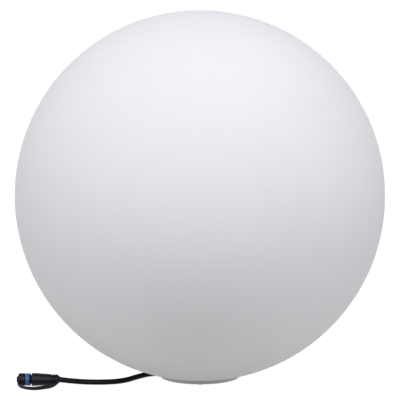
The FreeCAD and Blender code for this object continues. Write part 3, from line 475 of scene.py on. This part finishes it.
# %% [markdown]
# ### Shrinkage and the cord's channel
# Polyethylene shrinks by a few percent as it cools, and never quite evenly, so the ball is a
# tenth of a millimetre out of round in long, low waves. They are far too small to see as a
# shape, but they keep the shading from being perfect. At one side the lip has a channel over
# the foot's notch, through which the cord leaves.

# %% The ball
SHRINK = 0.00012
INSIDE = 0.0001
NECK_HEIGHT = 0.02
FADE_HEIGHT = 0.05
CORD_R = 0.0029
NOTCH_Y = 0.001
NOTCH_R = 0.0042
NOTCH_END = 0.060


def ball_place(along, across, up):
    """Upright axis, with low waves in the skin and the channel pressed up into the lip.
    Wave = SHRINK * (cos(3 longitude + 5 height) + cos(5 longitude - 9 height)) / 2. It fades
    towards the crown, and doesn't reach down to the neck."""
    longitude = np.arctan2(up, across)
    height = (along - BALL_MIDDLE[2]) / BALL_R
    fade = np.clip(1 - height**2, 0, 1)
    waves = np.cos(3 * longitude + 5 * height) + np.cos(5 * longitude - 9 * height)
    wave = SHRINK * fade * waves / 2
    above_neck = np.clip((along - NECK_HEIGHT) / FADE_HEIGHT, 0, 1)
    scale = 1 - (wave + SHRINK + INSIDE) / BALL_R * above_neck
    x, y = across * scale, up * scale
    side = np.clip(1 - ((y - NOTCH_Y) / NOTCH_R) ** 2, 0, 1)
    channel = CORD_R + np.sqrt(side) * NOTCH_R
    in_channel = (x < 0) & (np.hypot(across, up) < NOTCH_END) & (side > 0) & (along < channel)
    return np.stack([x, y, np.where(in_channel, channel, along)], axis=-1)


globe = finished("globe", [turned("globe", outline, ball_place, around=288)])
paint(globe, globe_plastic())
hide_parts("globe_shell")
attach(globe, "light")

# %% [markdown]
# ## The cord
# A garden cord is a fixed length of stiff round rubber. It drops from its gland inside the foot,
# bends out through the foot's notch and snakes over the ground to the plug, which lifts its last
# few centimetres. A NURBS curve of low order with a round bevel gives such a line from a few
# points: it has no corners and never overshoots them. A string of arcs would look like bent wire.

# %% The cord's route
CORD_POINTS = (
    (0.00539, -0.01880, 0.0448),
    (0.00539, -0.01880, 0.0222),
    (-0.0118, -0.0100, 0.0029),
    (-0.0336, 0.0017, 0.0029),
    (-0.0524, 0.0001, 0.0029),
    (-0.0655, -0.0129, 0.0029),
    (-0.0821, -0.0376, 0.0029),
    (-0.1022, -0.0440, 0.0029),
    (-0.1234, -0.0429, 0.0029),
    (-0.1435, -0.0484, 0.0058),
    (-0.1512, -0.0485, 0.00695),
)


def add_cord():
    """A round tube on a smooth spline through the room its points enclose."""
    data = bpy.data.curves.new("cord_tube", "CURVE")
    data.dimensions = "3D"
    spline = data.splines.new("NURBS")
    spline.points.add(len(CORD_POINTS) - 1)
    spline.points.foreach_set("co", np.insert(np.array(CORD_POINTS), 3, 1, axis=1).ravel())
    spline.order_u = 3
    spline.use_endpoint_u = True
    spline.resolution_u = 16
    data.bevel_depth = CORD_R
    data.bevel_resolution = 8
    data.use_fill_caps = True
    piece = bpy.data.objects.new("cord_tube", data)
    bpy.context.collection.objects.link(piece)
    return piece


cord = add_cord()
paint(cord, finishes["cord_rubber"])
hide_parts("cord")
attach(cord, "light")
print("cord: %.1f mm thick, %d points" % (2000 * CORD_R, len(CORD_POINTS)))

# %% [markdown]
# ## The plug
# The plug lies along the ground, its axis parallel to X. All its pieces are turned forms, so each
# is an outline of (distance from the cord's end, radius) in millimetres, with a soft corner
# wherever the mould has one.

# %% Plug axis
MM = 0.001
grip_low, grip_high = (np.array(corner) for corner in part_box("plug_body"))
PLUG_BACK = grip_high[0]
PLUG_Y, PLUG_Z = (grip_low[1:] + grip_high[1:]) / 2
PLUG_R = (grip_high[2] - grip_low[2]) / 2 / MM
print("plug: radius %.2f mm, axis at y %.1f, z %.2f mm" % (PLUG_R, PLUG_Y / MM, PLUG_Z / MM))


def on_plug(along, across, up):
    """Maps distance from the cord's end to -X, and across and up to Y and Z."""
    return np.stack([PLUG_BACK - along, PLUG_Y + across, PLUG_Z + up], axis=-1)


def plug_piece(name, corners, close=False, around=96):
    """A turned piece of the plug from corners (along, radius, fillet). An outline that isn't
    closed in itself starts and ends on the axis."""
    shape = rounded(corners) * MM
    if not close:
        shape = np.vstack([[shape[0, 0], 0], shape, [shape[-1, 0], 0]])
    return turned(name, shape, on_plug, around, close)


def dress(piece, finish, node, body="light"):
    """Gives a piece its finish and its body, and hides the model's piece that it stands for."""
    paint(piece, finishes[finish])
    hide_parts(node)
    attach(piece, body)


# %% [markdown]
# ### Grip
# The grip is moulded over the cord and the insert in one shot. It swells towards its front,
# where the fingers push, and has three grooves at its rear, where the moulding may flex. Behind
# them is a narrow neck that holds the strap's ring.

# %% Grip
GRIP_REAR_R = 5.7
GROOVE_AT = 4.5
GROOVE_PITCH = 1.8
GROOVE_W = 1.0
GROOVE_DEPTH = 0.75
GROOVE_SLOPE = 0.15
GROOVE_FILLET = 0.18


def grip_corners():
    """From the cord's mouth over the neck and the grooves to the front edge and its recess."""
    corners = [(0, 3.0, 0), (0, 3.3, 0.25), (1.6, 4.2, 0.2), (3.4, 4.2, 0.2)]
    corners += [(3.4, GRIP_REAR_R, 0.35)]
    for start in GROOVE_AT + GROOVE_PITCH * np.arange(3):
        end = start + GROOVE_W
        floor = GRIP_REAR_R - GROOVE_DEPTH
        corners += [
            (start, GRIP_REAR_R, GROOVE_FILLET),
            (start + GROOVE_SLOPE, floor, GROOVE_FILLET),
            (end - GROOVE_SLOPE, floor, GROOVE_FILLET),
            (end, GRIP_REAR_R, GROOVE_FILLET),
        ]
    corners += [(10.2, GRIP_REAR_R + 0.15, 2.0), (27.0, PLUG_R, 4.0), (29.9, PLUG_R, 0.4)]
    return corners + [(30.0, PLUG_R - 0.45, 0.2), (30.0, 4.52, 0)]


grip = finished("plug_grip", [plug_piece("plug_grip", grip_corners())])
dress(grip, "grip_rubber", "plug_body")

# %% [markdown]
# ### Insert, seal and cap
# The hard insert carries the contacts. It has a neck with a chamfered flange, a spigot with a
# catch groove and a round socket. The blue seal sits on the spigot behind the cap, as two lips
# with a shallow valley. The cap is a thick cup whose end has a button for the strap's ring.

# %% Radii from the seal inwards
SEAL_R = PLUG_R - 0.2
FLANGE_R = SEAL_R - 0.25
SPIGOT_R = SEAL_R - 1.55
SOCKET_R = SPIGOT_R - 1.1
CATCH_R = SPIGOT_R - 0.2
VALLEY_R = SEAL_R - 0.17
radii = (SEAL_R, FLANGE_R, SPIGOT_R, SOCKET_R)
print("seal %.2f, flange %.2f, spigot %.2f, socket %.2f mm" % radii)

# %% Insert with its spigot and socket
INSERT = [
    (24.1, 0.0, 0),
    (24.1, 4.48, 0),
    (30.02, 4.48, 0),
    (30.02, 4.8, 0),
    (31.1, 4.8, 0.15),
    (31.1, FLANGE_R - 0.5, 0.2),
    (31.6, FLANGE_R, 0.2),
    (32.5, FLANGE_R, 0.15),
    (32.5, SPIGOT_R, 0),
    (37.6, SPIGOT_R, 0.1),
    (37.8, CATCH_R, 0.1),
    (38.6, CATCH_R, 0.1),
    (38.8, SPIGOT_R, 0.1),
    (41.8, SPIGOT_R, 0.4),
    (41.8, SOCKET_R, 0.15),
    (34.8, SOCKET_R, 0),
    (34.8, 0.0, 0),
]
insert = finished("plug_core", [plug_piece("plug_core", INSERT)])
dress(insert, "navy_plastic", "plug_insert")

# %% Blue seal
SEAL = [
    (32.5, SEAL_R - 1.0, 0),
    (32.5, SPIGOT_R + 0.03, 0),
    (36.9, SPIGOT_R + 0.03, 0),
    (36.9, SEAL_R - 0.5, 0.3),
    (36.4, SEAL_R - 0.05, 0.5),
    (35.2, SEAL_R, 0.3),
    (34.9, VALLEY_R, 0.2),
    (34.5, VALLEY_R, 0.2),
    (34.2, SEAL_R, 0.3),
    (33.0, SEAL_R, 0.5),
    (32.5, SEAL_R - 0.4, 0.3),
]
seal = finished("blue_seal", [plug_piece("blue_seal", SEAL, close=True)])
dress(seal, "blue_rubber", "plug_seal")

# %% Dust cap
CAP = [
    (42.6, 0.0, 0),
    (42.6, SPIGOT_R + 0.1, 0.2),
    (37.2, SPIGOT_R + 0.1, 0.15),
    (37.2, SEAL_R - 0.25, 0.2),
    (37.6, SEAL_R, 0.3),
    (43.5, SEAL_R, 0.5),
    (44.4, SEAL_R - 0.9, 0.4),
    (44.4, 2.2, 0.1),
    (45.4, 2.2, 0.1),
    (45.4, 3.4, 0.25),
    (46.2, 3.1, 0.4),
    (46.2, 0.0, 0),
]
cap = finished("dust_cap", [plug_piece("dust_cap", CAP)])
dress(cap, "cap_plastic", "plug_cap", body="cap")

# %% [markdown]
# ## The cap's strap
# A flat rubber lanyard keeps the cap with the plug: a ring under the cap's button, a band that
# bows over the ground, and a ring in the neck behind the grip. The band is a rectangle with
# round edges, carried along a smooth path and kept upright, and it is widest in the middle of
# its bow. A simulation could lay it down, but its bow is known from the picture.

# %% The strap's path
STRAP_T = 1.5 * MM
STRAP_W = 2.8 * MM
STRAP_EDGE = 0.55 * MM
FRONT_RING_AT = 44.9
BACK_RING_AT = 2.5
STRAP_FRONT = PLUG_BACK - FRONT_RING_AT * MM
STRAP_BACK = PLUG_BACK - BACK_RING_AT * MM
STRAP_POINTS = (
    (STRAP_FRONT, PLUG_Y, 0.0034),
    (-0.1954, PLUG_Y - 0.0030, 0.0024),
    (-0.1908, PLUG_Y - 0.0141, 0.0017),
    (-0.1780, PLUG_Y - 0.0238, 0.0021),
    (-0.1660, PLUG_Y - 0.0190, 0.0025),
    (-0.1563, PLUG_Y - 0.0086, 0.0024),
    (STRAP_BACK, PLUG_Y - 0.0046, 0.0046),
    (STRAP_BACK, PLUG_Y - 0.0040, 0.0052),
)
# shares of the path, and how wide the band is there, as a share of STRAP_W
STRAP_SWELL = ((0, 0.3, 0.45, 0.7, 0.85, 1), (0.8, 1.15, 1.38, 1.65, 1.3, 0.9))


def smooth_path(points, steps=14):
    """A quadratic spline inside the points' polygon: in each span, the corner P pulls the line
    between the middles A and B of its two runs: (1-t)^2 A + 2 t (1-t) P + t^2 B."""
    corner = np.array(points)
    middle = (corner[1:] + corner[:-1]) / 2
    start = np.vstack([corner[:1], middle[1:-1]])
    end = np.vstack([middle[1:-1], corner[-1:]])
    t = np.linspace(0, 1, steps, endpoint=False)[None, :, None]
    pull = corner[1:-1, None]
    spans = (1 - t) ** 2 * start[:, None] + 2 * t * (1 - t) * pull + t**2 * end[:, None]
    return np.vstack([spans.reshape(-1, 3), corner[-1:]])


strap_path = smooth_path(STRAP_POINTS)
strap_length = np.linalg.norm(np.diff(strap_path, axis=0), axis=1).sum()
print("strap: %.1f mm of band" % (strap_length / MM))

# %% Band and rings
# millimetres: how soft a ring's edges are, and the width, inner and outer radius of each ring
RING_EDGE_IN = 0.15
RING_EDGE_OUT = 0.2
FRONT_RING = (0.8, 2.25, 3.8)
BACK_RING = (1.2, 4.25, 5.4)


def band_section(thick, high, edge, steps=5):
    """A rectangle with quarter circles for corners, as (across, up). Corner k is centred an edge's
    radius inside the rectangle and sweeps the k-th quarter turn."""
    angle = np.linspace(0, np.pi / 2, steps) + np.arange(4)[:, None] * np.pi / 2
    centre = np.array([(1, 1), (-1, 1), (-1, -1), (1, -1)]) * (thick / 2 - edge, high / 2 - edge)
    circle = np.stack([np.cos(angle), np.sin(angle)], axis=-1) * edge
    return (centre[:, None] + circle).reshape(-1, 2)


def carried(name, path, section, swell):
    """The section carried along a path: point = path + across * sideways + swell * up * Z. Both
    ends close to a point. swell gives shares of the path and the band's height there."""
    forward = np.gradient(path, axis=0)
    side = np.stack([-forward[:, 1], forward[:, 0], np.zeros(len(path))], axis=1)
    side /= np.linalg.norm(side, axis=1, keepdims=True)
    share = np.linspace(0, 1, len(path))
    up = np.array([0, 0, 1.0]) * np.interp(share, *swell)[:, None]
    across, height = section[None, :, :1], section[None, :, 1:]
    grid = path[:, None] + across * side[:, None] + height * up[:, None]
    ends = [np.repeat(path[end][None, None], len(section), axis=1) for end in (0, -1)]
    return grid_mesh(name, np.concatenate([ends[0], grid, ends[1]]), close_v=True)


def strap_ring(name, at, wide, inner, outer):
    """A flat ring with soft edges round the plug's axis. Its outline starts half way up a side."""
    low, high, middle = at - wide / 2, at + wide / 2, (inner + outer) / 2
    corners = [(low, middle, 0)]
    corners += [(low, inner, RING_EDGE_IN), (high, inner, RING_EDGE_IN)]
    corners += [(high, outer, RING_EDGE_OUT), (low, outer, RING_EDGE_OUT)]
    return plug_piece(name, corners, close=True, around=64)


# %% Strap
strap = finished(
    "strap",
    [
        carried("strap", strap_path, band_section(STRAP_T, STRAP_W, STRAP_EDGE), STRAP_SWELL),
        strap_ring("strap", FRONT_RING_AT, *FRONT_RING),
        strap_ring("strap", BACK_RING_AT, *BACK_RING),
    ],
)
paint(strap, finishes["strap_rubber"])
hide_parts("cap_strap")
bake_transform(strap)

# %% [markdown]
# ### What the cord is
# The picture shows the cord from the foot to the plug, and no coil is added out of sight. Its
# length is that of its route from the gland inside the foot to the plug. The grip, insert and
# seal share the light's body with the cord, and the cap has a body of its own.

# %% [markdown]
# ## Studio
# The shading of the ball says where the light was. It is brightest a little over half way up
# its front, falls off slowly on all sides, and stays even down to the ground, where a dark
# floor would make it dark. So the light is a wide box high in front with a smaller one below
# it, one at each shoulder, a low pale wall on both sides, an even dim room, and a floor that
# glows a little, like a sheet of lit opal plastic.

# %% What sees what
def seen_directly(tree):
    """1 on rays from the camera, from a gloss or through clear matter, 0 on all others."""
    rays = tree.nodes.new("ShaderNodeLightPath")
    seen = rays.outputs["Is Camera Ray"]
    for other in ("Is Glossy Ray", "Is Transmission Ray"):
        either = tree.nodes.new("ShaderNodeMath")
        either.operation = "MAXIMUM"
        tree.links.new(seen, either.inputs[0])
        tree.links.new(rays.outputs[other], either.inputs[1])
        seen = either.outputs["Value"]
    return seen


def joined_shaders(tree, kind, first, second):
    """Two shaders through an Add or a Mix Shader, and the node itself."""
    node = tree.nodes.new(kind)
    tree.links.new(first, node.inputs[-2])
    tree.links.new(second, node.inputs[-1])
    return node


def shade(tree, kind, color):
    """The output of a plain shader of that kind and colour."""
    node = tree.nodes.new(kind)
    node.inputs["Color"].default_value = (*color, 1)
    return node.outputs[0]


# %% [markdown]
# ### Floor
# The camera sees a white floor. White comes from a glow that is just short of white, and the
# light that falls on the floor does the rest, so that only real shadow stays visible. The rays
# that carry light to the ball see a duller floor, because a white one would flatten its shade.

# %% Floor
FLOOR_SHADE = (0.3, 0.3, 0.3)
FLOOR_GLOW = (0.271, 0.258, 0.251)
FLOOR_SEEN_SHADE = (0.3, 0.3, 0.3)
FLOOR_SEEN_GLOW = (0.93, 0.93, 0.93)
FLOOR_HALF = 20.0
FLOOR_GAP = 0.0001


def floor_finish():
    """Seen directly, glow and shade add up to white. For the light, a grey sheet that glows."""
    material = bpy.data.materials.new("floor")
    material.use_nodes = True
    tree = material.node_tree
    tree.nodes.clear()
    sheets = []
    for dull, glow in ((FLOOR_SHADE, FLOOR_GLOW), (FLOOR_SEEN_SHADE, FLOOR_SEEN_GLOW)):
        diffuse = shade(tree, "ShaderNodeBsdfDiffuse", dull)
        light = shade(tree, "ShaderNodeEmission", glow)
        sheets.append(joined_shaders(tree, "ShaderNodeAddShader", diffuse, light).outputs[0])
    both = joined_shaders(tree, "ShaderNodeMixShader", *sheets)
    tree.links.new(seen_directly(tree), both.inputs["Fac"])
    output = tree.nodes.new("ShaderNodeOutputMaterial")
    tree.links.new(both.outputs[0], output.inputs["Surface"])
    return material


def add_floor(half, height):
    """A square sheet that reaches past the picture's edges, a hair under the pads so that no two
    faces lie in one plane."""
    mesh = bpy.data.meshes.new("floor")
    corners = [(-half, -half), (half, -half), (half, half), (-half, half)]
    mesh.from_pydata([(x, y, height) for x, y in corners], [], [(0, 1, 2, 3)])
    floor = bpy.data.objects.new("floor", mesh)
    bpy.context.collection.objects.link(floor)
    paint(floor, floor_finish())
    floor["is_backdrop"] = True


add_floor(FLOOR_HALF, -FLOOR_GAP)
print("floor: %.0f m square" % (2 * FLOOR_HALF))

# %% [markdown]
# ### Lamps
# All lamps stand three metres from the ball and face it, so that only their bearing, size and
# strength differ. Big flat boxes give the soft edges of light that a studio's cloths give. The
# light is a touch cool, and the floor's glow a touch warm, as the ball's top and bottom show.

# %% Lamps
LAMP_AIM = Vector((0, 0, 0.2))
LAMP_AWAY = 3.0
LAMP_TINT = (0.982, 0.994, 1.023)
# bearing from the front and height above the floor in degrees, width, height, watts
LAMPS = {
    "high_front": (0, 62, 2.0, 1.6, 34.1),
    "low_front": (0, 30, 2.0, 1.0, 7.9),
    "left_shoulder": (-50, 40, 1.4, 1.4, 14.6),
    "right_shoulder": (50, 40, 1.4, 1.4, 14.6),
    "left_wall": (-80, 6, 1.6, 1.2, 11.1),
    "right_wall": (80, 6, 1.6, 1.2, 11.1),
}


def add_lamp(name, bearing, height, wide, high, watts):
    """A flat box of light LAMP_AWAY from the ball's middle, facing it."""
    data = bpy.data.lights.new(name, "AREA")
    data.shape = "RECTANGLE"
    data.size = wide
    data.size_y = high
    data.energy = watts
    data.color = LAMP_TINT
    lamp = bpy.data.objects.new(name, data)
    bpy.context.collection.objects.link(lamp)
    turn, rise = math.radians(bearing), math.radians(height)
    flat = math.cos(rise)
    way = Vector((math.sin(turn) * flat, -math.cos(turn) * flat, math.sin(rise)))
    lamp.location = LAMP_AIM + way * LAMP_AWAY
    lamp.rotation_euler = (-way).to_track_quat("-Z", "Y").to_euler()
    return lamp


for name, setting in LAMPS.items():
    add_lamp(name, *setting)
lamp_watts = sum(setting[-1] for setting in LAMPS.values())
print("lamps: %d, %.0f watts in all" % (len(LAMPS), lamp_watts))

# %% [markdown]
# ### Shine
# The plug's rubber carries one long soft band of shine along its middle, so a pale sheet hung
# low in front. The ball's own shade has no room for one more lamp. This last lamp is therefore
# kept off dull surfaces: only a gloss finds it, and the ball has next to none.

# %% Shine
# bearing, height, width, height of the sheet and watts, as in LAMPS
SHINE = (0, 26, 2.0, 2.0, 84)
shine = add_lamp("shine", *SHINE)
shine.visible_diffuse = False
print("shine: %.1f m square" % SHINE[2])

# %% [markdown]
# ### Surround
# The room itself sends a dim, even light from every side, which fills what the lamps miss. Where
# it is seen, in the picture or in a gloss, it is white like the floor.

# %% Surround
SURROUND = (0.232, 0.234, 0.241)


def add_surround():
    """An even dim room as a light, white where it is seen directly."""
    world = bpy.data.worlds.new("studio")
    world.use_nodes = True
    bpy.context.scene.world = world
    tree = world.node_tree
    dim = tree.nodes["Background"]
    dim.inputs["Color"].default_value = (*SURROUND, 1)
    white = shade(tree, "ShaderNodeBackground", (1, 1, 1))
    pick = joined_shaders(tree, "ShaderNodeMixShader", dim.outputs[0], white)
    tree.links.new(seen_directly(tree), pick.inputs["Fac"])
    tree.links.new(pick.outputs[0], tree.nodes["World Output"].inputs["Surface"])


add_surround()
bpy.context.scene.view_settings.view_transform = "Standard"
print("view transform:", bpy.context.scene.view_settings.view_transform)

# %% [markdown]
# ## Sizes, and the end
# The measured model's box and the dressed light's box are worked out side by side. The
# dressed light has to stay inside the measured model's box.

# %% Sizes for comparison
boxes = {"model": model_box, "visual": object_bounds()}
boxes = {name: [list(map(float, corner)) for corner in box] for name, box in boxes.items()}
print("sizes written:", ", ".join(boxes))
